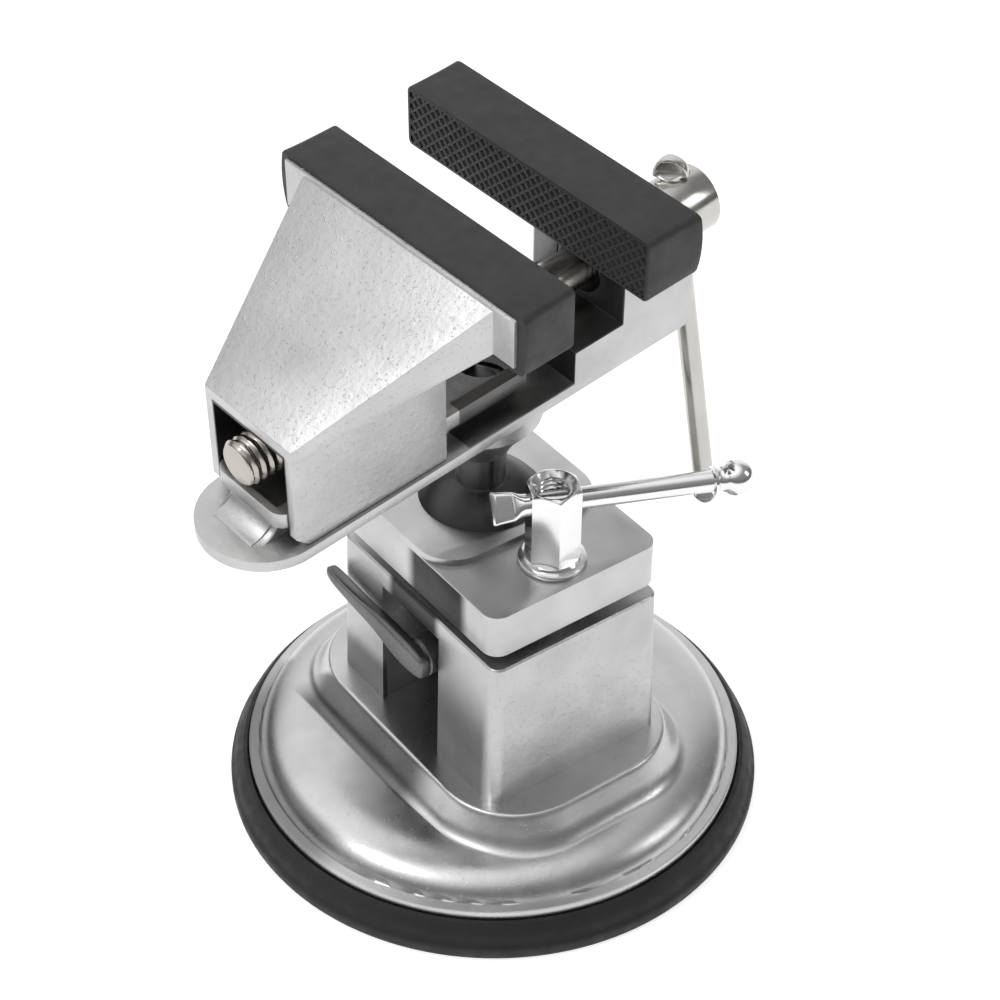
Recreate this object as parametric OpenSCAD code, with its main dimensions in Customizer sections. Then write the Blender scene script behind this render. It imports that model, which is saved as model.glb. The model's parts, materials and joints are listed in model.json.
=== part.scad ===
// Suction base vise with a swivelling ball head, a sliding jaw on a lead screw and soft jaw caps.
// Frame: origin under the centre of the suction pad, on the surface the vise stands on, +Z up.
// +X points to the side away from the suction lever, -Y to the side with the lock nut.
// The head has its own frame at the ball centre: x along the lead screw to the fixed jaw, z up the stem.

/* [Suction base] */
// Outer diameter of the rubber suction pad
pad_d = 129.4; // [122:0.1:150]
// Height of the rubber lip round the cast rim
pad_h = 8.9; // [8:0.1:10]
// How far the rubber stands out past the cast rim
pad_band = 4.8; // [3.5:0.1:8]
// Height of the round shoulder above the rubber lip
shoulder_h = 8.3; // [7:0.1:10]
// Height of the flat deck above the shoulder
deck_h = 7.8; // [6:0.1:10]
// Width of the deck's ledge beside the housing
deck_side = 6.4; // [4:0.1:8]
// Width of the deck's ledge before and behind the housing
deck_end = 11.05; // [8:0.05:13]
// How far the deck's skirt spreads at its foot
skirt_w = 3.8; // [2:0.1:5]

/* [Housing] */
// Width of the housing along X
house_w = 46.6; // [43:0.1:52]
// Metal between the ball seat's pocket and the clamp stud
stud_web = 3.3; // [2:0.1:7]
// Metal between the clamp stud and the housing's end
stud_wall = 6.55; // [5:0.05:9]
// Metal between the ball seat's pocket and the housing's other end
seat_wall = 4.05; // [3:0.05:7]
// Height of the housing above the deck
house_h = 40.6; // [39:0.1:46]
// Width of the lever window
win_w = 22.6; // [21.5:0.1:24]
// Thickness of the wall above the window
lintel_h = 5.3; // [4.5:0.1:6]

/* [Clamp plate] */
// Gap between the housing and the clamp plate
clamp_gap = 3.3; // [2:0.1:4]
// Thickness of the clamp plate's front part
plate_h = 11.2; // [10:0.1:13]
// Extra height of the raised part round the ball
raise_h = 1.8; // [0.8:0.1:3]

/* [Ball and stem] */
// Diameter of the swivel ball
ball_d = 35; // [34:0.1:36]
// Height of the ball centre above the housing
ball_rise = 6.5; // [6.2:0.1:6.8]
// Diameter of the stem
stem_d = 11.6; // [10:0.1:12]
// Height of the bed's underside above the ball centre
stem_h = 41.9; // [40:0.1:48]

/* [Lock nut and handle] */
// Diameter of the clamp stud
stud_d = 8; // [6:0.1:9]
// Width of the lock nut across its flats
nut_af = 11.2; // [10.8:0.1:13]
// Height of the lock nut's hexagon
nut_h = 19.2; // [16:0.1:20]
// Diameter of the lock handle
handle_d = 5.2; // [4:0.1:6]
// Distance from the nut's axis to the handle's ball knob
handle_reach = 41.6; // [34:0.1:44]
// Diameter of the ball knob
knob_d = 8.2; // [7:0.1:10]
// Direction of the handle, from +X towards -Y
handle_dir = 24; // [15:1:40]

/* [Jaws] */
// Width of the metal jaws
jaw_w = 70; // [62:0.1:80]
// Height of the metal jaw faces
jaw_h = 11.8; // [10:0.1:14]
// Height of the jaw tops above the bed's underside
jaw_rise = 54.9; // [53:0.1:58]
// Opening between the rubber faces
jaw_gap = 20.2; // [10:0.1:26]
// Thickness of the rubber over the jaw faces
cap_t = 3.4; // [2.5:0.1:4]
// Thickness of the rubber over the jaw ends
cap_side = 1.8; // [1:0.1:3]

/* [Bed] */
// Width of the bed's flange
bed_w = 29.2; // [28:0.1:34]
// Thickness of the bed's flange
flange_h = 2.8; // [2.4:0.1:4]
// Distance from the ball axis to the tip of the bed's round tongue
tongue_x = 75.2; // [72:0.1:84]
// Distance from the ball axis to the bed's back end
bed_back = 49.9; // [48:0.1:54]

/* [Screw] */
// Outer diameter of the lead screw's thread
screw_d = 10.5; // [9:0.1:11]
// Height of the screw axis above the bed's underside
screw_rise = 19.8; // [19:0.1:21]
// Distance from the ball axis to the screw's free end
screw_tip = 66.3; // [63:0.1:70]
// Diameter of the screw's round head
head_d = 16; // [14:0.1:18]
// Diameter of the tommy bar
tbar_d = 5; // [4:0.1:5.5]
// Length of the tommy bar below the screw axis
tbar_low = 82; // [60:0.1:84]
// Length of the tommy bar's upper end outside the head
tbar_stub = 4.9; // [2:0.1:6]
// Lean of the tommy bar from the vertical
tbar_lean = 11.9; // [0:0.1:15]

/* [Pose of the head] */
// Turn of the head about the vertical
head_yaw = 6.05; // [-5:0.05:15]
// Tilt of the head about its long direction
head_roll = 3.95; // [-5:0.05:5]
// Tilt of the head about its cross direction
head_pitch = -3.9; // [-5:0.05:5]

/* [Hidden] */
$fn = 96;

// Clearances, the overrun of cuts and small edges
run_gap = 0.05;
seat_gap = 0.02;
slide_gap = 0.3;
over = 1;
sliver = 0.01;
edge = 0.4;
facets = 32;

// Housing length: two end walls, the stud, the web and the ball seat's pocket
ball_r = ball_d / 2;
seat_w = 2;
seat_r = ball_r + seat_w;
stud_r = stud_d / 2;
house_l = stud_wall + stud_d + stud_web + 2 * seat_r + seat_wall;

// Suction pad
pad_r = pad_d / 2;
pad_seat_z = 6;
pad_groove = 0.3;
pad_lip = 1.2;
pad_lip_drop = 0.3;
pad_foot = 0.8;
pad_edge_z = 3.2;
pad_bend = 1.2;
pad_bend_z = 5.4;

// Cast base: a rim, a ledge, a shoulder that rises in a quarter of an ellipse, and the deck
rim_r = pad_r - pad_band;
rim_lift = 1.3;
rim_z = pad_h + rim_lift;
rim_round = 0.6;
ledge_w = 2.6;
ledge_rise = 0.5;
shoulder_w = 12.6;
shoulder_z = pad_h + shoulder_h;
shoulder_r = rim_r - ledge_w;
shoulder_foot = rim_z + ledge_rise;
shoulder_steps = 12;
shoulder_arc = [for (i = [1:shoulder_steps]) let (a = 90 * i / shoulder_steps)
  [shoulder_r - shoulder_w * (1 - cos(a)), shoulder_foot + (shoulder_z - shoulder_foot) * sin(a)]];
skirt_z = shoulder_z - edge;
deck_z = shoulder_z + deck_h;
deck_w = house_w + 2 * deck_side;
deck_l = house_l + 2 * deck_end;
deck_r = 20;
deck_edge = 0.8;
hollow_r = 45;
hollow_top = 4.2;
hollow_z = shoulder_z - hollow_top;

// Housing
house_top = deck_z + house_h;
house_y = -1.4;
house_r = 3;
house_draft = 0.8;
win_top = house_top - lintel_h;
win_back = -1;

// Ball seat
socket_r = ball_r + run_gap;
ball_z = house_top + ball_rise;
ball_y = house_y + house_l / 2 - seat_wall - seat_r;
seat_h = 3.1;
seat_drop = 0.1;
seat_floor = house_top - seat_h;
relief = 0.6;

// Clamp stud
stud_y = house_y - house_l / 2 + stud_wall + stud_r;
stud_depth = 27.6;
stud_root = house_top - stud_depth;

// Screws that hold the housing on the base, from below
screw_inset = 7.95;
screw_y = house_l / 2 - screw_inset;
screw_r = 2.5;
screw_head_r = 4.5;
screw_head_h = 3;
screw_hex_r = 2.3;
screw_short = 1;
screw_len = stud_root - screw_short - hollow_z;

// Suction lever, its shaft along X, with a crank pin that lifts the stud
lever_inset = 9.9;
lever_y = ball_y - lever_inset;
win_off = 5.3;
win_y = lever_y + win_off;
lever_drop = 14.6;
lever_z = house_top - lever_drop;
shaft_r = 4.7;
end_r = 2.85;
end_wall = 5.3;
shaft_end = house_w / 2 - end_wall;
throw = 1.25;
pin_r = 2.6;
pin_x = -9;
pin_len = 6.4;
pin_start = pin_x - pin_len / 2;
pin_end = pin_x + pin_len / 2;
root_r = 2.2;
root_len = 7;
arm_gap = 0.9;
arm_in = house_w / 2 + arm_gap;
arm_t = 4;
arm_reach = 35.4;
arm_up = 5;
arm_root = 4.6;
arm_slant = 3.4;
arm_slope = 1.2;
arm_crest = 1;
arm_end = 1.6;
arm_tip_h = 3.4;
yoke_t = 5;
yoke_wall = 1.5;
lift_slack = 0.35;
slot_r = pin_r + lift_slack;
slot_low = lever_z - throw - slot_r;
rod_r = 3;
foot_r = 17;
foot_t = 2.4;
foot_z = pad_seat_z + 2 * seat_drop;
foot_pin_r = 2.4;

// Clamp plate
plate_z = house_top + clamp_gap;
plate_top = plate_z + plate_h;
raise_top = plate_top + raise_h;
plate_shift = 0.4;
plate_y = house_y + plate_shift;
plate_inset = 0.9;
plate_l = house_l - plate_inset;
plate_r = 4;
raise_r = 9.6;
raise_reach = 17.7;
raise_y = ball_y - raise_reach + plate_l / 2;
mouth_z = raise_top - ball_z;
mouth_r = sqrt(socket_r * socket_r - mouth_z * mouth_z);

// Lock nut, its washer and handle
washer_r = 7.8;
washer_h = 1.3;
collar_r = 6.4;
collar_h = 0.9;
nut_z = plate_top + washer_h + collar_h;
nut_top = nut_z + nut_h;
nut_turn = 6;
nut_corner_r = nut_af / 2 / cos(30);
nut_chamfer = 1;
handle_drop = 4.8;
handle_z = nut_top - handle_drop;
handle_r = handle_d / 2;
stud_short = 0.8;
stud_top = handle_z - handle_r - stud_short;
tail_gap = 0.53;
tail_l = 7;
tail_w = 7.6;
tail_t = 2.6;
tail_face = 40;
tail_start = nut_corner_r + tail_gap;
knob_r = knob_d / 2;
knob_lip = 0.7;
knob_neck_r = handle_r + knob_lip;
knob_neck = 1.6;

// Stem and the nut in the bed's pocket
stem_r = stem_d / 2;
stem_step = 2.3;
spigot_r = stem_r - stem_step;
stem_nut_r = 5.9;
stem_nut_h = 4.6;
pocket_r = 6.3;
pocket_drop = 1.9;
pocket_z = stem_h - pocket_drop;
spigot_rise = 1;
spigot_top = pocket_z + stem_nut_h + spigot_rise;
boss_h = 15.9;
boss_z = stem_h - boss_h;
boss_lip = 0.7;
boss_low_r = stem_r + boss_lip;
boss_waist = 4.6;
boss_waist_r = 8.9;
boss_cone = 11;
boss_top_r = 13.8;

// Bed, in the head frame
flange_top = stem_h + flange_h;
tongue_r = bed_w / 2;
tongue_bare = 10.5;
rail_end = tongue_x - tongue_bare;
rail_past = 3.2;
web_h = 4.7;
web_w = 15;
web_inset = 2;
web_front = web_inset - rail_end;
ramp_r = 6.2;
ramp_w = 12;
ramp_edge = 0.15;
rail_w = 22;
rail_t = 3.9;
rail_depth = 2;
rail_groove = 15.6;
groove_end = 1.8;
rail_r = 3.4;
rail_bottom = flange_top + web_h;
rail_top = rail_bottom + rail_t;
rail_floor = rail_top - rail_depth;
block_l = 35.5;
block_x = bed_back - block_l;
block_rise = 0.2;
block_top = rail_top + block_rise;
post_l = 21.1;
post_x = bed_back - post_l;

// Screw axis and jaws, in the head frame
screw_z = stem_h + screw_rise;
jaw_top = stem_h + jaw_rise;
jaw_low = jaw_top - jaw_h;
fix_face = 11.76;
plate_back = 14.8;
jaw_back = fix_face + plate_back;
wing_side = 5.6;
wing_w = jaw_w - 2 * wing_side;
wing_drop = 0.3;
wing_top = jaw_top - wing_drop;
wing_lift = 0.2;
wing_low = jaw_low + wing_lift;
wing_out_rise = 10.6;
wing_out_t = 2.8;
wing_out_top = screw_z + wing_out_rise;
wing_out_low = wing_out_top - wing_out_t;

// Moving jaw, in the head frame
move_face = fix_face - jaw_gap;
move_back = move_face - plate_back;
leg_in = rail_w / 2 + slide_gap;
leg_t = 2.45;
leg_out = leg_in + leg_t;
leg_set = 13.8;
leg_len = 40.6;
leg_back = move_face - leg_set;
leg_front = leg_back - leg_len;
leg_low = flange_top + slide_gap;
leg_r = 3;
channel_rise = 7.3;
channel_z = screw_z + channel_rise;
screw_r_out = screw_d / 2;
rib_t = 3;
rib_gap = 0.6;
nut_len = 12;
nut_x = leg_back - rib_t - seat_gap - nut_len;
cap_low = 2.2;
cap_top = 1.1;
cap_fit = 0.05;
cap_lap = 0.9;

// Screw, its head and the tommy bar
thread_depth = 0.65;
journal_r = screw_r_out - thread_depth;
thread_end = 12;
washer_t = 1.1;
washer_inset = 1;
head_x = bed_back + washer_t + 2 * run_gap;
head_len = 14.2;
head_r = head_d / 2;
spigot_len = 4;
spigot_step = 1.4;
screw_spigot_r = journal_r - spigot_step;
tbar_set = 7.8;
tbar_x = head_x + tbar_set;
tbar_r = tbar_d / 2;
tbar_neck = 4;
tbar_tail_w = 6.2;
tbar_stub_w = 8.4;
tbar_step = 0.5;
tbar_flat_t = 2.8;
tbar_face = 33;
clip_t = 1.6;
clip_w = 1.55;
clip_r = screw_r_out + clip_w;
clip_floor = post_x + clip_t + 2 * run_gap;

// A box with rounded vertical corners, centred on x and y
module rounded_box(w, l, h, r) {
  translate([-w / 2 + r, -l / 2, 0]) cube([w - 2 * r, l, h]);
  translate([-w / 2, -l / 2 + r, 0]) cube([w, l - 2 * r, h]);
  for (x = [-1, 1], y = [-1, 1])
    translate([x * (w / 2 - r), y * (l / 2 - r), 0]) cylinder(r = r, h = h);
}

// A cylinder along +X from the given start
module x_rod(r, x0, x1) {
  translate([x0, 0, 0]) rotate([0, 90, 0]) cylinder(r = r, h = x1 - x0);
}

// Places the head frame at the ball centre, turned as the head is
module head_frame() {
  translate([0, ball_y, ball_z]) rotate([head_roll, head_pitch, head_yaw]) children();
}

// A plate across Y with the given outline in x and z
module side_plate(outline, y0, y1) {
  translate([0, y1, 0]) rotate([90, 0, 0]) linear_extrude(y1 - y0) polygon(outline);
}

// A wing between a jaw and its body: x, half width, low and high edge at each end, the smaller x first
module wing(x0, w0, low0, top0, x1, w1, low1, top1) {
  polyhedron(
    points = [[x0, -w0, low0], [x0, w0, low0], [x0, w0, top0], [x0, -w0, top0],
      [x1, -w1, low1], [x1, w1, low1], [x1, w1, top1], [x1, -w1, top1]],
    faces = [[0, 1, 2, 3], [7, 6, 5, 4], [4, 5, 1, 0], [5, 6, 2, 1], [6, 7, 3, 2], [7, 4, 0, 3]]);
}

// A rod end squeezed flat and wide, along +Z from the origin
module flat_tail(r, len, w, t) {
  hull() {
    cylinder(r = r, h = over, $fn = facets);
    translate([-t / 2, -w / 2, len - 2 * over]) cube([t, w, 2 * over]);
  }
}

// The flat coin at a rod's end, along +Z from the origin, cut straight at its neck
module coin_tail(neck, len, w, t) {
  intersection() {
    translate([0, 0, len - w / 2]) x_rod(w / 2, -t / 2, t / 2);
    translate([-t, -w, neck]) cube([2 * t, 2 * w, len]);
  }
}

module suction_pad() {
  color([0.12, 0.12, 0.13])
    rotate_extrude()
      polygon([[0, 0], [pad_r - pad_foot, 0], [pad_r, pad_foot], [pad_r, pad_edge_z],
        [pad_r - pad_bend, pad_bend_z], [rim_r + pad_groove + pad_lip, pad_h - pad_lip_drop],
        [rim_r + pad_groove, pad_h], [rim_r + pad_groove, pad_seat_z], [0, pad_seat_z]]);
}

module base_dome() {
  color([0.74, 0.75, 0.76])
    difference() {
      union() {
        rotate_extrude()
          polygon(concat([[0, pad_seat_z], [rim_r, pad_seat_z], [rim_r, rim_z - rim_round],
            [rim_r - rim_round, rim_z], [shoulder_r, shoulder_foot]], shoulder_arc, [[0, shoulder_z]]));
        hull() {
          translate([0, 0, skirt_z])
            rounded_box(deck_w + 2 * skirt_w, deck_l + 2 * skirt_w, sliver, deck_r + skirt_w, $fn = facets);
          translate([0, 0, deck_z - deck_edge])
            rounded_box(deck_w, deck_l, sliver, deck_r, $fn = facets);
          translate([0, 0, deck_z - sliver])
            rounded_box(deck_w - deck_edge, deck_l - deck_edge, sliver, deck_r, $fn = facets);
        }
      }
      translate([0, 0, pad_seat_z - over]) cylinder(r = hollow_r, h = hollow_z - pad_seat_z + over);
      translate([pin_x, lever_y, 0]) cylinder(r = rod_r + run_gap, h = deck_z + over);
      for (y = [-1, 1])
        translate([0, y * screw_y, 0]) cylinder(r = screw_r + seat_gap, h = deck_z + over);
    }
}

module pivot_housing() {
  color([0.76, 0.77, 0.78])
    difference() {
      hull() {
        translate([0, house_y, deck_z])
          rounded_box(house_w + 2 * house_draft, house_l + 2 * house_draft, sliver, house_r, $fn = facets);
        translate([0, house_y, house_top - edge])
          rounded_box(house_w, house_l, sliver, house_r, $fn = facets);
        translate([0, house_y, house_top - sliver])
          rounded_box(house_w - 2 * edge, house_l - 2 * edge, sliver, house_r - edge, $fn = facets);
      }
      translate([-house_w, win_y - win_w / 2, deck_z - over])
        cube([house_w + win_back, win_w, win_top - deck_z + over]);
      translate([0, ball_y, seat_floor]) cylinder(r = seat_r + seat_gap, h = seat_h + over);
      translate([0, ball_y, ball_z]) sphere(r = ball_r + relief);
      translate([0, lever_y, lever_z]) x_rod(end_r + run_gap, win_back - over, shaft_end + slide_gap);
      translate([0, stud_y, stud_root]) cylinder(r = stud_r + seat_gap, h = house_top);
      for (y = [-1, 1])
        translate([0, y * screw_y, deck_z - over])
          cylinder(r = screw_r + seat_gap, h = hollow_z + screw_len - deck_z + over + slide_gap);
    }
}

// One of the two screws that hold the housing on the base, from below
module base_screw(side) {
  translate([0, side * screw_y, hollow_z]) cylinder(r = screw_r, h = screw_len);
  difference() {
    translate([0, side * screw_y, hollow_z - screw_head_h]) cylinder(r = screw_head_r, h = screw_head_h);
    translate([0, side * screw_y, hollow_z - screw_head_h - over])
      cylinder(r = screw_hex_r, h = screw_head_h, $fn = 6);
  }
}

module front_screw() {
  color([0.3, 0.3, 0.32]) base_screw(-1);
}

module back_screw() {
  color([0.3, 0.3, 0.32]) base_screw(1);
}

module ball_seat() {
  color([0.55, 0.56, 0.57])
    difference() {
      translate([0, ball_y, seat_floor]) cylinder(r = seat_r, h = seat_h - seat_drop);
      translate([0, ball_y, ball_z]) sphere(r = socket_r);
    }
}

module suction_lever() {
  color([0.6, 0.6, 0.6])
    difference() {
      union() {
        translate([0, lever_y, lever_z]) x_rod(shaft_r, -arm_in - arm_t / 2, pin_start);
        hull() {
          translate([-arm_in - arm_t, lever_y + arm_crest, lever_z - arm_root])
            cube([arm_t, arm_end, arm_up + arm_root]);
          translate([-arm_in - arm_t + arm_slant, lever_y - arm_root, lever_z - arm_root + arm_slope])
            cube([arm_t - arm_slant, arm_end, arm_up + arm_root - 2 * arm_slope]);
          translate([-arm_in - arm_t, lever_y + arm_reach - arm_end, lever_z + arm_up - arm_tip_h])
            cube([arm_t, arm_end, arm_tip_h]);
        }
      }
      translate([0, lever_y, lever_z]) x_rod(root_r + seat_gap, pin_start - root_len - seat_gap, 0);
    }
}

module crank_pin() {
  color([0.66, 0.67, 0.68]) {
    translate([0, lever_y, lever_z]) x_rod(root_r, pin_start - root_len, pin_start);
    translate([0, lever_y, lever_z - throw]) x_rod(pin_r, pin_start, pin_end);
    translate([0, lever_y, lever_z]) x_rod(end_r, pin_end, shaft_end);
  }
}

// The outline of the yoke or of its slot, across X, grown by the given amount
module yoke_shape(r, x0, x1) {
  for (y = [-throw, throw])
    translate([pin_x, lever_y + y, lever_z - throw]) x_rod(r, x0, x1);
  translate([pin_x + x0, lever_y - throw, lever_z - throw - r]) cube([x1 - x0, 2 * throw, 2 * r]);
}

module suction_stud() {
  color([0.62, 0.63, 0.64])
    difference() {
      union() {
        yoke_shape(slot_r + yoke_wall, -yoke_t / 2, yoke_t / 2);
        translate([pin_x, lever_y, foot_z + foot_t])
          cylinder(r = rod_r, h = slot_low - sliver - foot_z - foot_t);
        translate([pin_x, lever_y, foot_z]) cylinder(r = foot_pin_r, h = foot_t + over);
      }
      yoke_shape(slot_r, -yoke_t, yoke_t);
    }
}

module stud_foot() {
  color([0.5, 0.51, 0.52])
    difference() {
      translate([0, 0, foot_z]) cylinder(r = foot_r, h = foot_t);
      translate([pin_x, lever_y, foot_z - over])
        cylinder(r = foot_pin_r + seat_gap, h = foot_t + 2 * over);
    }
}

module clamp_stud() {
  color([0.7, 0.71, 0.72]) translate([0, stud_y, stud_root]) cylinder(r = stud_r, h = stud_top - stud_root);
}

module clamp_plate() {
  color([0.76, 0.77, 0.78])
    difference() {
      union() {
        translate([0, plate_y, plate_z]) rounded_box(house_w, plate_l, plate_h, plate_r);
        intersection() {
          translate([0, plate_y, plate_z]) rounded_box(house_w, plate_l, plate_h + raise_h, plate_r);
          translate([0, raise_y, plate_z]) rounded_box(house_w, plate_l, plate_h + raise_h, raise_r);
        }
      }
      translate([0, ball_y, ball_z]) sphere(r = socket_r);
      translate([0, ball_y, plate_z - over]) cylinder(r = socket_r, h = ball_z - plate_z + over);
      translate([0, ball_y, ball_z]) cylinder(r = mouth_r, h = plate_h + raise_h);
      translate([0, stud_y, plate_z - over]) cylinder(r = stud_r + run_gap, h = plate_h + 2 * over);
    }
}

module nut_washer() {
  color([0.72, 0.72, 0.72])
    translate([0, stud_y, plate_top])
      difference() {
        cylinder(r = washer_r, h = washer_h);
        translate([0, 0, -over]) cylinder(r = stud_r + run_gap, h = washer_h + 2 * over);
      }
}

module lock_nut() {
  color([0.68, 0.69, 0.7])
    translate([0, stud_y, 0])
      difference() {
        union() {
          translate([0, 0, nut_z - collar_h]) cylinder(r = collar_r, h = collar_h);
          intersection() {
            translate([0, 0, nut_z]) rotate([0, 0, nut_turn]) cylinder(r = nut_corner_r, h = nut_h, $fn = 6);
            rotate_extrude()
              polygon([[0, nut_z], [nut_corner_r, nut_z], [nut_corner_r, nut_top - nut_chamfer / 2],
                [nut_corner_r - nut_chamfer, nut_top], [0, nut_top]]);
          }
        }
        translate([0, 0, nut_z - collar_h - over])
          cylinder(r = stud_r + run_gap, h = nut_h + collar_h + 2 * over);
        translate([0, 0, handle_z]) rotate([0, 0, -handle_dir]) x_rod(handle_r + run_gap, -head_d, head_d);
      }
}

// Draws along the handle: +X runs from the nut's axis towards the knob
module handle_frame() {
  translate([0, stud_y, handle_z]) rotate([0, 0, -handle_dir]) children();
}

module lock_handle() {
  color([0.7, 0.71, 0.72])
    handle_frame() {
      x_rod(handle_r, -tail_start, handle_reach);
      translate([-tail_start + over, 0, 0]) rotate([-tail_face, 0, 0])
        rotate([0, -90, 0]) rotate([0, 0, 90]) flat_tail(handle_r, tail_l + over, tail_w, tail_t);
    }
}

module handle_knob() {
  color([0.7, 0.71, 0.72])
    handle_frame()
      difference() {
        union() {
          translate([handle_reach, 0, 0]) sphere(r = knob_r);
          x_rod(knob_neck_r, handle_reach - knob_r - knob_neck, handle_reach - knob_r / 2);
        }
        x_rod(handle_r + seat_gap, 0, handle_reach);
      }
}

module swivel_ball() {
  color([0.3, 0.3, 0.31])
    head_frame() {
      sphere(r = ball_r);
      cylinder(r = stem_r, h = boss_z - run_gap);
      cylinder(r = spigot_r, h = spigot_top);
    }
}

module stem_nut() {
  color([0.25, 0.25, 0.26])
    head_frame()
      difference() {
        translate([0, 0, pocket_z + run_gap]) cylinder(r = stem_nut_r, h = stem_nut_h, $fn = 6);
        translate([0, 0, pocket_z]) cylinder(r = spigot_r + seat_gap, h = stem_nut_h + 2 * over);
      }
}

module bed() {
  color([0.76, 0.77, 0.78])
    head_frame()
      difference() {
        union() {
          translate([-tongue_x + tongue_r, 0, stem_h]) cylinder(r = tongue_r, h = flange_h);
          translate([-tongue_x + tongue_r, -bed_w / 2, stem_h])
            cube([tongue_x - tongue_r + bed_back, bed_w, flange_h]);
          rotate_extrude()
            polygon([[0, boss_z], [boss_low_r, boss_z], [boss_waist_r, boss_z + boss_waist],
              [boss_top_r, boss_z + boss_cone], [boss_top_r, stem_h + over], [0, stem_h + over]]);
          translate([web_front, -web_w / 2, stem_h])
            cube([block_x - web_front, web_w, web_h + flange_h + over]);
          difference() {
            translate([(rail_past + rail_r - rail_end) / 2, 0, rail_bottom])
              rounded_box(rail_end + rail_past + rail_r, rail_w, rail_t, rail_r);
            translate([-rail_end + groove_end, -rail_groove / 2, rail_floor])
              cube([rail_end - groove_end + rail_past + rail_r + over, rail_groove, rail_top]);
          }
          difference() {
            translate([web_front - ramp_r, -ramp_w / 2, flange_top - over])
              cube([ramp_r + over, ramp_w, web_h + over]);
            translate([web_front - ramp_r, 0, flange_top + ramp_r + ramp_edge])
              rotate([90, 0, 0]) cylinder(r = ramp_r, h = ramp_w + over, center = true);
          }
          translate([block_x, -bed_w / 2, stem_h]) cube([bed_back - block_x, bed_w, block_top - stem_h]);
          side_plate([[post_x, stem_h], [bed_back, stem_h], [bed_back, wing_out_low + over],
            [post_x, wing_low]], -bed_w / 2, bed_w / 2);
          wing(jaw_back - over, wing_w / 2, wing_low, wing_top, bed_back, bed_w / 2, wing_out_low,
            wing_out_top);
          translate([fix_face + cap_t, -jaw_w / 2, jaw_low])
            cube([jaw_back - fix_face - cap_t, jaw_w, jaw_h]);
        }
        translate([0, 0, boss_z - over]) cylinder(r = spigot_r + run_gap, h = rail_top - boss_z);
        translate([0, 0, pocket_z]) cylinder(r = pocket_r, h = rail_top - pocket_z + over);
        translate([rail_past, -bed_w, flange_top])
          cube([block_x - rail_past, 2 * bed_w, screw_rise]);
        translate([0, 0, screw_z]) x_rod(journal_r + run_gap, block_x, bed_back + over);
        translate([0, 0, screw_z]) x_rod(clip_r + 2 * run_gap, post_x - over, clip_floor);
      }
}

// A soft sleeve over a jaw plate: x of the gripping face, of the plate's face and of the sleeve's mouth
module jaw_sleeve(face, metal, mouth) {
  difference() {
    translate([min(face, mouth), -jaw_w / 2 - cap_side, jaw_low - cap_low])
      cube([abs(mouth - face), jaw_w + 2 * cap_side, jaw_h + cap_low + cap_top]);
    translate([min(metal, mouth + sign(mouth - face) * over), -jaw_w / 2 - cap_fit, jaw_low - cap_fit])
      cube([abs(mouth - metal) + over, jaw_w + 2 * cap_fit, jaw_h + 2 * cap_fit]);
  }
}

module fixed_jaw_cap() {
  color([0.14, 0.14, 0.15])
    head_frame() jaw_sleeve(fix_face, fix_face + cap_t, jaw_back - cap_fit);
}

module moving_jaw_cap() {
  color([0.14, 0.14, 0.15])
    head_frame() jaw_sleeve(move_face, move_face - cap_t, move_back + cap_lap);
}

module moving_jaw() {
  color([0.76, 0.77, 0.78])
    head_frame()
      difference() {
        union() {
          for (y = [-1, 1])
            side_plate([[leg_front + leg_r, leg_low], [leg_back, leg_low], [leg_back, channel_z + over],
              [leg_front, channel_z + over], [leg_front, leg_low + leg_r]],
              y > 0 ? leg_in : -leg_out, y > 0 ? leg_out : -leg_in);
          side_plate([[leg_front, channel_z], [leg_back, channel_z], [leg_back, wing_low],
            [leg_front, wing_out_low + over]], -leg_out, leg_out);
          for (x = [leg_back - rib_t, nut_x - rib_t - seat_gap])
            translate([x, -leg_in - over, rail_top + slide_gap])
              cube([rib_t, 2 * leg_in + 2 * over, channel_z - rail_top]);
          wing(leg_front, leg_out, wing_out_low, wing_out_top, move_back + over, wing_w / 2, wing_low,
            wing_top);
          translate([move_back, -jaw_w / 2, jaw_low])
            cube([move_face - cap_t - move_back, jaw_w, jaw_h]);
        }
        translate([0, 0, screw_z]) x_rod(screw_r_out + rib_gap, leg_front - over, leg_back + over);
      }
}

module jaw_nut() {
  color([0.72, 0.62, 0.36])
    head_frame()
      difference() {
        translate([nut_x, -rail_groove / 2 + slide_gap, rail_floor + slide_gap])
          cube([nut_len, rail_groove - 2 * slide_gap, channel_z - rail_floor - slide_gap]);
        translate([0, 0, screw_z]) x_rod(screw_r_out + run_gap, nut_x - over, nut_x + nut_len + over);
      }
}

module lead_screw() {
  color([0.7, 0.71, 0.72])
    head_frame() translate([0, 0, screw_z]) {
      x_rod(screw_r_out, -screw_tip, thread_end);
      x_rod(journal_r, thread_end, head_x);
      x_rod(screw_spigot_r, head_x, head_x + spigot_len);
    }
}

module screw_head() {
  color([0.7, 0.71, 0.72])
    head_frame() translate([0, 0, screw_z])
      difference() {
        x_rod(head_r, head_x, head_x + head_len);
        x_rod(screw_spigot_r + seat_gap, head_x - over, head_x + spigot_len + seat_gap);
        translate([tbar_x, 0, 0]) rotate([-tbar_lean, 0, 0]) translate([0, 0, -head_d])
          cylinder(r = tbar_r + run_gap, h = 2 * head_d);
      }
}

module thrust_washer() {
  color([0.6, 0.6, 0.61])
    head_frame() translate([0, 0, screw_z])
      difference() {
        x_rod(head_r - washer_inset, bed_back, bed_back + washer_t);
        x_rod(journal_r + run_gap, bed_back - over, bed_back + washer_t + over);
      }
}

module screw_clip() {
  color([0.3, 0.3, 0.32])
    head_frame() translate([0, 0, screw_z])
      difference() {
        x_rod(clip_r, post_x, post_x + clip_t);
        x_rod(journal_r, post_x - over, clip_floor);
      }
}

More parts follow.
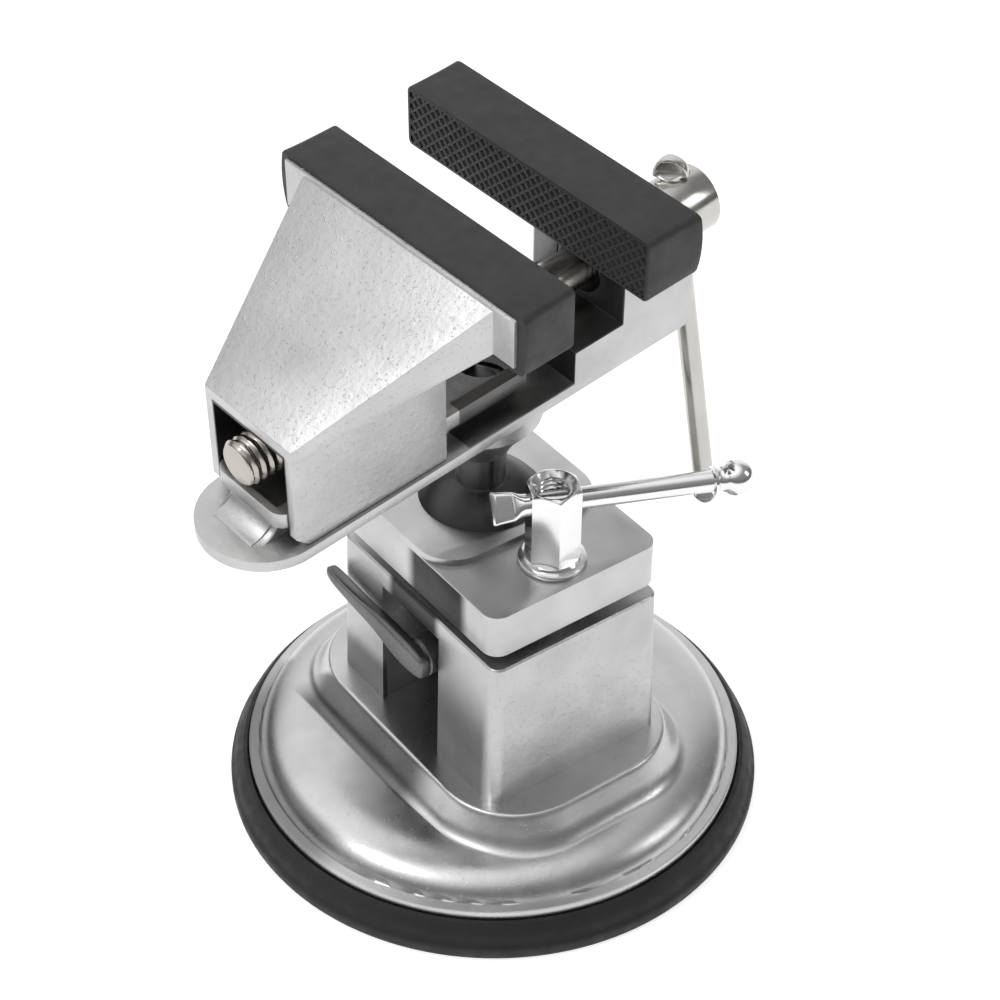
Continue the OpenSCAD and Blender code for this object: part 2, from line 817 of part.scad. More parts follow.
module tommy_bar() {
  color([0.7, 0.71, 0.72])
    head_frame() translate([tbar_x, 0, screw_z]) rotate([-tbar_lean, 0, 0]) {
      translate([0, 0, -tbar_low + tbar_neck])
        cylinder(r = tbar_r, h = tbar_low - tbar_neck + head_r + over);
      translate([0, 0, head_r]) rotate([0, 0, tbar_face])
        coin_tail(tbar_step, tbar_stub, tbar_stub_w, tbar_flat_t);
      translate([0, 0, tbar_tail_w - tbar_low]) rotate([0, 0, tbar_face]) mirror([0, 0, 1])
        coin_tail(tbar_step, tbar_tail_w, tbar_tail_w, tbar_flat_t);
    }
}

suction_pad();
base_dome();
pivot_housing();
front_screw();
back_screw();
ball_seat();
suction_lever();
crank_pin();
suction_stud();
stud_foot();
clamp_stud();
clamp_plate();
nut_washer();
lock_nut();
lock_handle();
handle_knob();
swivel_ball();
stem_nut();
bed();
fixed_jaw_cap();
moving_jaw();
moving_jaw_cap();
jaw_nut();
lead_screw();
screw_head();
thrust_washer();
screw_clip();
tommy_bar();
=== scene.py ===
"""Suction base vise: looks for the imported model, in metres, in the model's own frame."""
import json
import math
import bmesh
import bpy
from mathutils import Matrix, Vector


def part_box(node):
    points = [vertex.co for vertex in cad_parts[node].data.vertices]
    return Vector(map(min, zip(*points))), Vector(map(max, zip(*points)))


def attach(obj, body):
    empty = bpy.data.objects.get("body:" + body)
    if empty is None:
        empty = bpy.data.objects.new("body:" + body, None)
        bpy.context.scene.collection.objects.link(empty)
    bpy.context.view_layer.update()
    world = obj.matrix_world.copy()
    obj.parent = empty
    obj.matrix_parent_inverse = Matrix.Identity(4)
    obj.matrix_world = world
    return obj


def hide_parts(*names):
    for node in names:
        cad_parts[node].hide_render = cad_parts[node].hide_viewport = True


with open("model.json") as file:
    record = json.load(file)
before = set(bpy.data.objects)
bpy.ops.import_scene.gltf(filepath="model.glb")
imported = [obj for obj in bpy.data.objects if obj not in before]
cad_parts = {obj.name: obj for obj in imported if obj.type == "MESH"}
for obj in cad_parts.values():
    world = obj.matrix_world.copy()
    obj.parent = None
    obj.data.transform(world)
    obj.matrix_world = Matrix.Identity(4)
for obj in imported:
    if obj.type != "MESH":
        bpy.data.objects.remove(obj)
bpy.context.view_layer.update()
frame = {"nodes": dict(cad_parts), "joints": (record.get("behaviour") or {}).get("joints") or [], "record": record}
MM = 0.001
TURN = 2 * math.pi
JOINTS = {joint["name"]: joint for joint in frame["joints"]}
SLOT_OF = {part["node"]: part["material_slot"] for part in frame["record"]["subparts"]}


# Frames: each takes millimetres in its own axes to metres in the model's frame
def axes(origin, x, y, z):
    """A frame at origin, in metres, with the three given directions."""
    return Matrix.Translation(origin) @ Matrix((x, y, z)).transposed().to_4x4() @ Matrix.Scale(MM, 4)


def along(origin, z, x):
    """A frame at origin whose z runs along the given direction and whose x leans towards x."""
    z = z.normalized()
    x = (x - x.dot(z) * z).normalized()
    return axes(origin, x, z.cross(x), z)


def span(node, place):
    """Lowest and highest corner of a CAD node in the given frame, in millimetres."""
    inverse = place.inverted()
    points = [inverse @ vertex.co for vertex in frame["nodes"][node].data.vertices]
    low = Vector([min(point[i] for point in points) for i in range(3)])
    high = Vector([max(point[i] for point in points) for i in range(3)])
    return low, high


UP = Vector((0, 0, 1))
RIGHT = Vector((1, 0, 0))
ball_centre = Vector(JOINTS["ball_tilt"]["pos_m"])
head_x = Vector(JOINTS["jaw_slide"]["axis"]).normalized()
head_z = Vector(JOINTS["head_spin"]["axis"]).normalized()
BASE = Matrix.Scale(MM, 4)
HEAD = axes(ball_centre, head_x, head_z.cross(head_x), head_z)
SCREW = along(Vector(JOINTS["screw_turn"]["pos_m"]), head_x, head_z)
STUD = along(Vector(JOINTS["nut_turn"]["pos_m"]), UP, RIGHT)
handle_low, handle_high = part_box("lock_handle")
handle_mid = (Vector(handle_low) + Vector(handle_high)) / 2
handle_axis = Vector(JOINTS["handle_slide"]["axis"])
HANDLE = along(Vector((*STUD.translation.xy, handle_mid.z)), handle_axis, UP)
bar_low, bar_high = span("tommy_bar", HEAD)
bar_mid = (bar_low.x + bar_high.x) / 2
screw_axis_z = (HEAD.inverted() @ SCREW.translation).z
BAR = along(HEAD @ Vector((bar_mid, 0, screw_axis_z)), Vector(JOINTS["bar_slide"]["axis"]), head_x)


# Node helpers: each returns the socket that carries its result
def node_tree(material):
    """A material's empty tree with a Principled shader, and its object coordinates."""
    material.use_nodes = True
    tree = material.node_tree
    tree.nodes.clear()
    out = tree.nodes.new("ShaderNodeOutputMaterial")
    shader = tree.nodes.new("ShaderNodeBsdfPrincipled")
    tree.links.new(shader.outputs["BSDF"], out.inputs["Surface"])
    coords = tree.nodes.new("ShaderNodeTexCoord")
    return tree, shader, coords.outputs["Object"]


def noise(tree, coords, scale, detail, roughness):
    node = tree.nodes.new("ShaderNodeTexNoise")
    node.inputs["Scale"].default_value = scale
    node.inputs["Detail"].default_value = detail
    node.inputs["Roughness"].default_value = roughness
    tree.links.new(coords, node.inputs["Vector"])
    return node.outputs["Fac"]


def ramp(tree, value, stops):
    """A colour ramp: each stop is (place, tone), and a tone is a grey or a colour."""
    node = tree.nodes.new("ShaderNodeValToRGB")
    elements = node.color_ramp.elements
    while len(elements) < len(stops):
        elements.new(0.5)
    for element, (place, tone) in zip(elements, stops):
        element.position = place
        element.color = (*tone, 1) if isinstance(tone, tuple) else (tone, tone, tone, 1)
    tree.links.new(value, node.inputs["Fac"])
    return node.outputs["Color"]


def bump(tree, height, strength, distance, before=None):
    """A bump on top of the one before it."""
    node = tree.nodes.new("ShaderNodeBump")
    node.inputs["Strength"].default_value = strength
    node.inputs["Distance"].default_value = distance
    tree.links.new(height, node.inputs["Height"])
    if before is not None:
        tree.links.new(before, node.inputs["Normal"])
    return node.outputs["Normal"]


def add_colours(tree, first, second):
    node = tree.nodes.new("ShaderNodeMix")
    node.data_type = "RGBA"
    node.blend_type = "ADD"
    node.inputs["Factor"].default_value = 1.0
    tree.links.new(first, node.inputs["A"])
    tree.links.new(second, node.inputs["B"])
    return node.outputs["Result"]


def math_node(tree, operation, first, second):
    """A Math node, whose two operands are numbers or sockets."""
    node = tree.nodes.new("ShaderNodeMath")
    node.operation = operation
    for socket, value in zip(node.inputs, (first, second)):
        if isinstance(value, (int, float)):
            socket.default_value = value
        else:
            tree.links.new(value, socket)
    return node.outputs["Value"]


def dot_product(tree, vector, direction):
    node = tree.nodes.new("ShaderNodeVectorMath")
    node.operation = "DOT_PRODUCT"
    node.inputs[1].default_value = direction
    tree.links.new(vector, node.inputs[0])
    return node.outputs["Value"]


def soft_step(tree, value, start, end):
    """Rises smoothly from 0 at start to 1 at end."""
    node = tree.nodes.new("ShaderNodeMapRange")
    node.interpolation_type = "SMOOTHSTEP"
    node.inputs["From Min"].default_value = start
    node.inputs["From Max"].default_value = end
    tree.links.new(value, node.inputs["Value"])
    return node.outputs["Result"]


def painted_shade(tree, coords, colour, shade_patches):
    """Paints shade: darkens a colour inside soft boxes, in millimetres: (frame, low, high, softness, factor)."""
    for place, low, high, soft, factor in shade_patches:
        inverse = place.inverted()
        inside = None
        for i in range(3):
            at = math_node(tree, "ADD", dot_product(tree, coords, inverse[i].xyz), inverse[i].w)
            for start, end in ((low[i] - soft[i], low[i]), (high[i] + soft[i], high[i])):
                step = soft_step(tree, at, start, end)
                inside = step if inside is None else math_node(tree, "MULTIPLY", inside, step)
        keep = math_node(tree, "SUBTRACT", 1.0, math_node(tree, "MULTIPLY", inside, 1 - factor))
        scale = tree.nodes.new("ShaderNodeVectorMath")
        scale.operation = "SCALE"
        tree.links.new(colour, scale.inputs[0])
        tree.links.new(keep, scale.inputs["Scale"])
        colour = scale.outputs["Vector"]
    return colour


# Noises: scale per metre, detail and roughness
CLOUDS = (60, 5.0, 0.6)
GLOSS = (140, 4.0, 0.5)
FINE_GRAIN = (900, 2.0, 0.5)
POLISHED_GRAIN = (1500, 2.0, 0.5)
TURNED_GRAIN = (1400, 2.0, 0.5)
SPECKS = (1500, 1.0, 0.5)
PEEL = (420, 3.0, 0.55)
CAST_PEEL = (620, 3.0, 0.55)
RUBBER_CLOUDS = (90, 5.0, 0.6)
RUBBER_GLOSS = (300, 4.0, 0.5)
RUBBER_GRAIN = (1800, 2.0, 0.5)
DUST = (2600, 1.0, 0.5)

# Where a noise starts and ends to change the surface
EVENLY = (0.3, 0.7)
RUBBER_CLOUD_LIMITS = (0.3, 0.75)
SPECK_LIMITS = (0.66, 0.72)
DUST_LIMITS = (0.74, 0.8)

# Bumps: strengths, and depths in metres
GRAIN_STRENGTH = 0.5
PEEL_STRENGTH = 0.6
SPECK_STRENGTH = 0.8
RUBBER_GRAIN_STRENGTH = 0.4
GRAIN_DEPTH = 0.00002
POLISHED_DEPTH = 0.00001
RUBBER_GRAIN_DEPTH = 0.00003


def between(tree, value, limits, tones):
    """Goes from the first tone to the second while value goes from the first limit to the second."""
    return ramp(tree, value, list(zip(limits, tones)))


def metal(name, dark, light, rough, grain=FINE_GRAIN, grain_depth=GRAIN_DEPTH,
          peel_depth=0.0, peel=PEEL, speck_depth=0.0, shade_patches=()):
    """A metal whose colour, gloss and surface vary, with painted shade inside the given boxes: rough is
    (smoothest, roughest).
    """
    material = bpy.data.materials.new(name)
    tree, shader, coords = node_tree(material)
    shader.inputs["Metallic"].default_value = 1.0
    clouds = between(tree, noise(tree, coords, *CLOUDS), EVENLY, (dark, light))
    # Painted shade: the colour is darkened inside the shade boxes
    tree.links.new(painted_shade(tree, coords, clouds, shade_patches), shader.inputs["Base Color"])
    gloss = between(tree, noise(tree, coords, *GLOSS), EVENLY, rough)
    tree.links.new(gloss, shader.inputs["Roughness"])
    normal = bump(tree, noise(tree, coords, *grain), GRAIN_STRENGTH, grain_depth)
    if peel_depth:
        normal = bump(tree, noise(tree, coords, *peel), PEEL_STRENGTH, peel_depth, normal)
    if speck_depth:
        specks = between(tree, noise(tree, coords, *SPECKS), SPECK_LIMITS, (0.0, 1.0))
        normal = bump(tree, specks, SPECK_STRENGTH, speck_depth, normal)
    tree.links.new(normal, shader.inputs["Normal"])
    return material


def rubber(name, dark, light, rough, dust):
    """A matt rubber with faint clouds, a fine grain and small pale specks of dust."""
    material = bpy.data.materials.new(name)
    tree, shader, coords = node_tree(material)
    clouds = between(tree, noise(tree, coords, *RUBBER_CLOUDS), RUBBER_CLOUD_LIMITS, (dark, light))
    specks = between(tree, noise(tree, coords, *DUST), DUST_LIMITS, (0.0, dust))
    tree.links.new(add_colours(tree, clouds, specks), shader.inputs["Base Color"])
    gloss = between(tree, noise(tree, coords, *RUBBER_GLOSS), EVENLY, rough)
    tree.links.new(gloss, shader.inputs["Roughness"])
    grain = bump(tree, noise(tree, coords, *RUBBER_GRAIN), RUBBER_GRAIN_STRENGTH, RUBBER_GRAIN_DEPTH)
    tree.links.new(grain, shader.inputs["Normal"])
    return material


def casting(name, dark, light, speck_depth, peel_depth=0.0001, shade_patches=()):
    """Rough cast aluminium with orange peel and small specks, and painted shade inside the given boxes."""
    return metal(
        name, dark, light, (0.32, 0.42), peel_depth=peel_depth, peel=CAST_PEEL, speck_depth=speck_depth,
        shade_patches=shade_patches)


# Painted shade, as soft boxes in millimetres: (frame, low, high, softness, factor): darker colour in recesses,
# under parts and on the shaded left sides
CRISP = (0.5, 0.5, 0.5)
RAIL_CAVITY = (HEAD, (-16, -14, 44.6), (28.9, 14, 69), CRISP, 0.3)
JAW_CHANNEL = (HEAD, (-80, -11.4, 40), (-20, 11.4, 69.6), CRISP, 0.12)
WINDOW = (BASE, (-22.6, -9.2, 20), (12, 11.4, 54.4), CRISP, 0.06)
WALL_BEHIND_WINDOW = (BASE, (-40, 0, 10), (-23, 60, 33), (0.4, 1, 6), 0.38)
WALL_BEFORE_WINDOW = (BASE, (-40, -27, 10), (-23, -6, 40), (0.4, 3, 18), 0.36)
WALL_OVER_WINDOW = (BASE, (-40, -8, 54), (-23, 7.5, 66), (0.8, 3, 0.8), 0.1)
PLATE_SIDE = (BASE, (-40, -18, 60), (-22.8, -1.5, 79.6), (0.4, 4, 0.4), 0.05)
SKIRT_SIDE = (BASE, (-35.2, -9, 14), (-29.6, 27, 24.2), (0.9, 10, 0.9), 0.26)
RIM_SIDE = (BASE, (-60, -5, 9.5), (-30, 40, 14.6), (2, 16, 1.4), 0.4)

CAST = casting("cast_aluminium", 0.5, 0.6, 0.00005)
# The bed, jaw, housing, plate and base castings carry painted shade from the boxes above
BED_CAST = casting("bed_aluminium", 0.5, 0.6, 0.00003, 0.00008, [RAIL_CAVITY])
JAW_CAST = casting("jaw_aluminium", 0.5, 0.6, 0.00006, shade_patches=[JAW_CHANNEL])
HOUSE_CAST = casting("housing_aluminium", 0.48, 0.58, 0.00005, shade_patches=[
    WINDOW, WALL_BEHIND_WINDOW, WALL_BEFORE_WINDOW, WALL_OVER_WINDOW])
PLATE_CAST = metal(
    "plate_aluminium", 0.5, 0.6, (0.28, 0.38), peel_depth=0.00004, speck_depth=0.00002,
    shade_patches=[PLATE_SIDE])
SMOOTH_CAST = metal(
    "smooth_aluminium", 0.54, 0.65, (0.26, 0.34), peel_depth=0.00004, speck_depth=0.00002,
    shade_patches=[SKIRT_SIDE, RIM_SIDE])
NICKEL = metal("nickel", 0.8, 0.88, (0.12, 0.2), grain=POLISHED_GRAIN, grain_depth=POLISHED_DEPTH)
STEEL = metal("steel", 0.45, 0.52, (0.25, 0.35))
BAR_STEEL = metal("bar_steel", (0.5, 0.485, 0.46), (0.6, 0.585, 0.56), (0.14, 0.24), grain=TURNED_GRAIN)
SCREW_STEEL = metal(
    "screw_steel", (0.4, 0.37, 0.34), (0.52, 0.49, 0.45), (0.2, 0.32), grain=TURNED_GRAIN)
DARK_STEEL = metal("dark_steel", 0.05, 0.085, (0.26, 0.38))
LEVER_CAST = metal("lever_casting", 0.13, 0.21, (0.38, 0.52), peel_depth=0.00008, speck_depth=0.00004)
BRASS = metal("brass", (0.6, 0.42, 0.16), (0.68, 0.5, 0.2), (0.25, 0.4))
PAD_RUBBER = rubber("pad_rubber", 0.006, 0.012, (0.5, 0.7), 0.02)
CAP_RUBBER = rubber("cap_rubber", 0.022, 0.03, (0.5, 0.64), 0.01)
BY_SLOT = {
    "rubber": PAD_RUBBER,
    "cap_rubber": CAP_RUBBER,
    "cast": CAST,
    "dark_steel": DARK_STEEL,
    "steel": STEEL,
    "nickel": NICKEL,
    "lever_cast": LEVER_CAST,
    "brass": BRASS,
}
OWN_METAL = {
    "screw_head": BAR_STEEL,
    "bed": BED_CAST,
    "moving_jaw": JAW_CAST,
    "pivot_housing": HOUSE_CAST,
    "clamp_plate": PLATE_CAST,
}


# CAD nodes that keep their shape get rounded edges and their own material
WELD_GAP = 0.00001
FLAT_ANGLE = math.radians(0.6)
EDGE_ANGLE = math.radians(25)
SMALL_EDGE = 0.3
SMALL_SEGMENTS = 2
WIDE_SEGMENTS = 3
EDGES = {"clamp_plate": 0.9, "pivot_housing": 0.5, "moving_jaw": 0.6, "bed": 0.5, "screw_head": 0.5}


def dress(node):
    """Gives a CAD node its material, and rounds its edges by modifiers, so its mesh stays as it is."""
    obj = frame["nodes"][node]
    obj.data.materials.clear()
    obj.data.materials.append(OWN_METAL.get(node) or BY_SLOT[SLOT_OF[node]])
    weld = obj.modifiers.new("weld", "WELD")
    weld.merge_threshold = WELD_GAP
    flat = obj.modifiers.new("flat", "DECIMATE")
    flat.decimate_type = "DISSOLVE"
    flat.angle_limit = FLAT_ANGLE
    round_off = obj.modifiers.new("round", "BEVEL")
    round_off.width = EDGES.get(node, SMALL_EDGE) * MM
    round_off.segments = WIDE_SEGMENTS if node in EDGES else SMALL_SEGMENTS
    round_off.limit_method = "ANGLE"
    round_off.angle_limit = EDGE_ANGLE
    for polygon in obj.data.polygons:
        polygon.use_smooth = True


# Pieces made here: rings of points in millimetres, joined by quads
SHARP = math.radians(32)
ROUND = 96
SMALL_ROUND = 48


def piece(name, mesh, place, body, nodes=(), material=None, slot=None):
    """Turns a bmesh in the given frame into an object that rides on a body and replaces CAD nodes."""
    slot = slot or SLOT_OF[nodes[0]]
    bmesh.ops.recalc_face_normals(mesh, faces=mesh.faces)
    bmesh.ops.transform(mesh, matrix=place, verts=mesh.verts)
    data = bpy.data.meshes.new(name)
    mesh.to_mesh(data)
    mesh.free()
    data.polygons.foreach_set("use_smooth", [True] * len(data.polygons))
    data.set_sharp_from_angle(angle=SHARP)
    data.materials.append(material or BY_SLOT[slot])
    obj = bpy.data.objects.new(name, data)
    bpy.context.collection.objects.link(obj)
    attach(obj, body)
    if nodes:
        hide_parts(*nodes)
    return obj


def join_rings(mesh, rings, ends=True):
    """Joins rings of points with quads, and closes the first and the last ring where ends is true."""
    rows = [[mesh.verts.new(point) for point in ring] for ring in rings]
    count = len(rows[0])
    for low, high in zip(rows, rows[1:]):
        for i in range(count):
            k = (i + 1) % count
            mesh.faces.new((low[i], low[k], high[k], high[i]))
    if ends:
        mesh.faces.new(rows[0][::-1])
        mesh.faces.new(rows[-1])


def ring_piece(name, rings, place, body, nodes=(), material=None, slot=None, ends=True):
    """A piece whose whole mesh is one row of rings."""
    mesh = bmesh.new()
    join_rings(mesh, rings, ends)
    return piece(name, mesh, place, body, nodes, material, slot)


def circle(radius, z, count=ROUND):
    ring = []
    for i in range(count):
        angle = TURN * i / count
        ring.append(Vector((radius * math.cos(angle), radius * math.sin(angle), z)))
    return ring


def oval(half_x, half_y, z, power=2.0, count=SMALL_ROUND):
    """A ring between an ellipse, power 2, and a box, a high power."""
    ring = []
    for i in range(count):
        c, s = math.cos(TURN * i / count), math.sin(TURN * i / count)
        x = math.copysign(abs(c) ** (2 / power), c) * half_x
        y = math.copysign(abs(s) ** (2 / power), s) * half_y
        ring.append(Vector((x, y, z)))
    return ring


def lathe(profile, count=ROUND):
    """Circles through a profile of (radius, z)."""
    return [circle(radius, z, count) for radius, z in profile]


# A thread's flank, as shares of half a pitch: it starts at the root and rises over its own width
THREAD_ROOT = 0.15
THREAD_FLANK = 0.6
CHAMFER_SLOPE = 0.8
THREAD_STEPS = 8


def thread_rings(radius, depth, pitch, z0, z1, chamfer=0.0, count=SMALL_ROUND):
    """Rings of a screw thread: flat-topped ridges that climb one pitch a turn, thinner at the start."""
    rings = []
    for k in range(int((z1 - z0) / pitch * THREAD_STEPS) + 1):
        z = z0 + k * pitch / THREAD_STEPS
        ring = []
        for i in range(count):
            ridge = 1 - abs(2 * ((z / pitch - i / count) % 1) - 1)
            height = min(1.0, max(0.0, (ridge - THREAD_ROOT) / THREAD_FLANK))
            r = radius - depth * (1 - height)
            if chamfer:
                r = min(r, radius - chamfer + (z - z0) * CHAMFER_SLOPE)
            ring.append(Vector((r * math.cos(TURN * i / count), r * math.sin(TURN * i / count), z)))
        rings.append(ring)
    return rings


def smooth_max(a, b, k):
    """The larger of two heights, blended over a difference of k."""
    h = max(k - abs(a - b), 0.0) / k
    return max(a, b) + h * h * k / 4


# Rubber pad: a lip round the casting, open underneath as a shallow cup
PAD_LIP_GAP = 0.3
PAD_CUP_R = 6
PAD_COUNT = 144
# Each point: how far it is inset from the pad's radius, and its height
PAD_SIDE = [
    (1.9, 7.0), (1.2, 5.5), (0.8, 4.4), (0.5, 4.0), (0.1, 3.4), (0, 2.8), (0, 1.2), (0.5, 0.2), (1.2, 0)]
PAD_SOLE = [(6, 0), (8, 0.5), (12, 1.3)]


def rubber_pad():
    high = span("suction_pad", BASE)[1]
    dome_low, dome_high = span("base_dome", BASE)
    pad_r, seat_z = high.x, dome_low.z
    lip = dome_high.x + PAD_LIP_GAP
    top = [(lip, seat_z), (lip, high.z - 0.3), (lip + 0.3, high.z), (lip + 1.2, high.z - 0.2)]
    cup = [(20, 2.4), (PAD_CUP_R, 2.5)]
    profile = [(PAD_CUP_R, seat_z)] + top + [(pad_r - inset, z) for inset, z in PAD_SIDE + PAD_SOLE] + cup
    ring_piece("rubber_pad", lathe(profile, PAD_COUNT), BASE, "base", ("suction_pad",))


# Cast base: one smooth height field from the oval deck over the skirt and the shoulder to the rim
DECK_HALF = Vector((29.7, 41.5))
DECK_ROUND = 20.0
DECK_SOFT = 0.9
SHOULDER_Z = 17.2
SHOULDER_R = 57.3
SHOULDER_W = 12.6
SHOULDER_POWER = 2.4
RIM_Z = 10.5
RIM_DROP = 0.6
RIM_INSET = 0.5
FLANGE_RISE = 0.35
FLANGE_W = 2.6
FLANGE_SOFT = 1.6
SKIRT_SLOPE = 1.9
SKIRT_SOFT = 3.4
BASE_COUNT = 216
NEAR_START = -1.6
NEAR_STEP = 0.32
NEAR_COUNT = 27
FAR_COUNT = 30
FAR_POWER = 1.5
NO_REACH = 1e9
NO_SIDE = 1e-6


def deck_reach(angle):
    """Distance from the centre to the deck's outline in the given direction."""
    c, s = abs(math.cos(angle)), abs(math.sin(angle))
    across = DECK_HALF.x / c if c > NO_SIDE else NO_REACH
    lengthways = DECK_HALF.y / s if s > NO_SIDE else NO_REACH
    straight = min(across, lengthways)
    core = DECK_HALF - Vector((DECK_ROUND, DECK_ROUND))
    if straight * c > core.x and straight * s > core.y:
        along_core = c * core.x + s * core.y
        return along_core + math.sqrt(along_core ** 2 - core.length_squared + DECK_ROUND ** 2)
    return straight


def base_height(r, reach, deck_z):
    """Height of the casting at radius r, in a direction where the deck ends at reach."""
    shoulder = SHOULDER_Z
    if r >= SHOULDER_R - SHOULDER_W:
        part = min(1.0, (r - SHOULDER_R + SHOULDER_W) / SHOULDER_W)
        low_z = RIM_Z - RIM_DROP
        shoulder = low_z + (SHOULDER_Z - RIM_Z + RIM_DROP) * math.sqrt(max(0.0, 1 - part ** SHOULDER_POWER))
    flange = RIM_Z + FLANGE_RISE * (SHOULDER_R + FLANGE_W - r) / FLANGE_W
    ground = smooth_max(shoulder, flange, FLANGE_SOFT)
    skirt = deck_z - (r - reach) * SKIRT_SLOPE
    body = smooth_max(ground, skirt, SKIRT_SOFT)
    return -smooth_max(-body, -deck_z, DECK_SOFT)


def cast_base():
    low, high = span("base_dome", BASE)
    rim_r, deck_z = high.x, high.z
    outer = rim_r - RIM_INSET
    near = [NEAR_START + NEAR_STEP * i for i in range(NEAR_COUNT)]
    rings = [[] for _ in range(NEAR_COUNT + FAR_COUNT)]
    for i in range(BASE_COUNT):
        angle = TURN * i / BASE_COUNT
        reach = deck_reach(angle)
        radii = [reach + d for d in near]
        last = radii[-1]
        for k in range(FAR_COUNT):
            radii.append(last + (outer - last) * (1 - (1 - (k + 1) / FAR_COUNT) ** FAR_POWER))
        for ring, r in zip(rings, radii):
            ring.append(Vector((r * math.cos(angle), r * math.sin(angle), base_height(r, reach, deck_z))))
    edge_z = rings[-1][0].z
    rim = [(rim_r - 0.15, edge_z - 0.12), (rim_r, edge_z - 0.5), (rim_r, low.z), (rim_r - 8, low.z)]
    rings += lathe(rim, BASE_COUNT)
    ring_piece("cast_base", rings, BASE, "base", ("base_dome",), SMOOTH_CAST)


# Suction lever: a cast arm with a dished thumb rest, on its round shaft
LEVER_W = 4.0
LEVER_TUCK_IN = 0.4
LEVER_LEVELS = 2
SHAFT_R = 4.7
SHAFT_ROOT_R = 3.9
SHAFT_CHAMFER = 0.5


def lever():
    low, high = span("suction_lever", BASE)
    axis = BASE.inverted() @ Vector(JOINTS["lever_turn"]["pos_m"])
    inner = low.x + LEVER_W
    # Each section: y, how far its sides are tucked in, and the heights of bottom, rim, dish and inner edge
    sections = [
        (low.y, 1.0, -2.4, 1.8, 1.9, 1.7),
        (low.y + 1.2, 0.3, -3.2, 3.4, 3.4, 3.2),
        (-4.5, 0.1, -3.6, 4.0, 4.1, 4.0),
        (1.0, 0.0, -3.5, 4.3, 4.4, 4.3),
        (6.0, 0.1, -2.3, 4.5, 4.5, 4.4),
        (11.0, 0.3, -1.0, 4.4, 4.3, 4.2),
        (15.0, 0.2, -0.6, 4.4, 3.8, 4.0),
        (20.0, 0.0, 0.2, 4.8, 3.3, 4.0),
        (26.0, 0.0, 1.0, 5.0, 3.4, 4.2),
        (29.5, 0.3, 1.5, 4.9, 3.8, 4.4),
        (high.y, 1.2, 2.2, 4.2, 4.0, 3.8),
    ]
    rings = []
    for y, tuck, z_low, z_rim, z_dish, z_in in sections:
        out_x, in_x = low.x + tuck, inner - tuck * LEVER_TUCK_IN
        mid = (out_x + in_x) / 2
        outline = [
            (out_x, (z_low + z_rim) / 2), (out_x + 0.2, z_low + 0.3), (mid, z_low), (in_x, z_low + 0.2),
            (in_x, (z_low + z_in) / 2), (in_x - 0.1, z_in), (mid + 0.4, z_dish), (mid - 0.6, z_dish + 0.2),
            (out_x + 0.7, z_rim), (out_x + 0.1, z_rim - 0.5)]
        rings.append([Vector((x, y, axis.z + z)) for x, z in outline])
    arm = ring_piece("lever_arm", rings, BASE, "lever", ("suction_lever",))
    soft = arm.modifiers.new("soft", "SUBSURF")
    soft.levels = LEVER_LEVELS
    soft.render_levels = LEVER_LEVELS
    place = along(BASE @ Vector((0, axis.y, axis.z)), RIGHT, UP)
    profile = [
        (SHAFT_ROOT_R, inner - 0.6), (SHAFT_R, inner), (SHAFT_R, high.x - SHAFT_CHAMFER),
        (SHAFT_R - SHAFT_CHAMFER, high.x)]
    ring_piece("lever_shaft", lathe(profile, SMALL_ROUND), place, "lever", slot="lever_cast")


# Lock nut: a chamfered hexagon on a collar, with its thread inside
NUT_FLAT = 5.6
NUT_TURN = math.radians(6)
NUT_BORE = 4.0
NUT_COLLAR_H = 0.9
NUT_THREAD_DEPTH = 0.55
NUT_THREAD_PITCH = 1.25
NUT_THREAD_LENGTH = 10
NUT_THREAD_START = 1.3
NUT_CORNER_SLOPE = 0.7
NUT_CHAMFER = 0.2
HEX_SIDE = TURN / 6


def hexagon(z, top=False, shrink=0.0):
    """A ring round the nut, whose corners drop away where it is the top one."""
    ring = []
    for i in range(ROUND):
        angle = TURN * i / ROUND
        r = NUT_FLAT / math.cos(angle % HEX_SIDE - HEX_SIDE / 2) - shrink
        drop = max(0.0, r - NUT_FLAT + NUT_CHAMFER) * NUT_CORNER_SLOPE if top else 0.0
        ring.append(Vector((r * math.cos(angle), r * math.sin(angle), z - drop)))
    return ring


def lock_nut():
    low, high = span("lock_nut", STUD)
    collar_r = (high.x - low.x) / 2
    collar_top = low.z + NUT_COLLAR_H
    rings = lathe([
        (NUT_BORE, low.z), (collar_r, low.z), (collar_r, collar_top - 0.2), (collar_r - 0.2, collar_top)])
    rings += [hexagon(collar_top), hexagon(high.z - 0.1, True), hexagon(high.z, True, 0.15)]
    rings += lathe([
        (NUT_FLAT - 0.35, high.z), (NUT_BORE + 1.15, high.z), (NUT_BORE + 1.0, high.z - 0.1),
        (NUT_BORE, high.z - 1.2)])
    thread = thread_rings(NUT_BORE, NUT_THREAD_DEPTH, NUT_THREAD_PITCH, 0, NUT_THREAD_LENGTH, count=ROUND)
    for ring in thread:
        rings.append([Vector((point.x, point.y, high.z - NUT_THREAD_START - point.z)) for point in ring])
    place = STUD @ Matrix.Rotation(NUT_TURN, 4, "Z")
    ring_piece("hex_nut", rings, place, "nut", ("lock_nut",), ends=False)


# Rods with squeezed ends
SQUEEZE_RIM = 0.75
SQUEEZE_SINK = 0.3
FLAT_POWER = 5.0
ROD_R = 2.5


def squeezed(thin, wide, z, degrees, sink=0.0, power=FLAT_POWER):
    """A flat section with rounded corners, turned about z, its two flats sunk inside a raised rim."""
    turn = Matrix.Rotation(math.radians(degrees), 4, "Z")
    ring = []
    for point in oval(thin, wide, z, power):
        if abs(point.y) < wide - SQUEEZE_RIM:
            point.x *= 1 - sink / thin
        ring.append(turn @ point)
    return ring


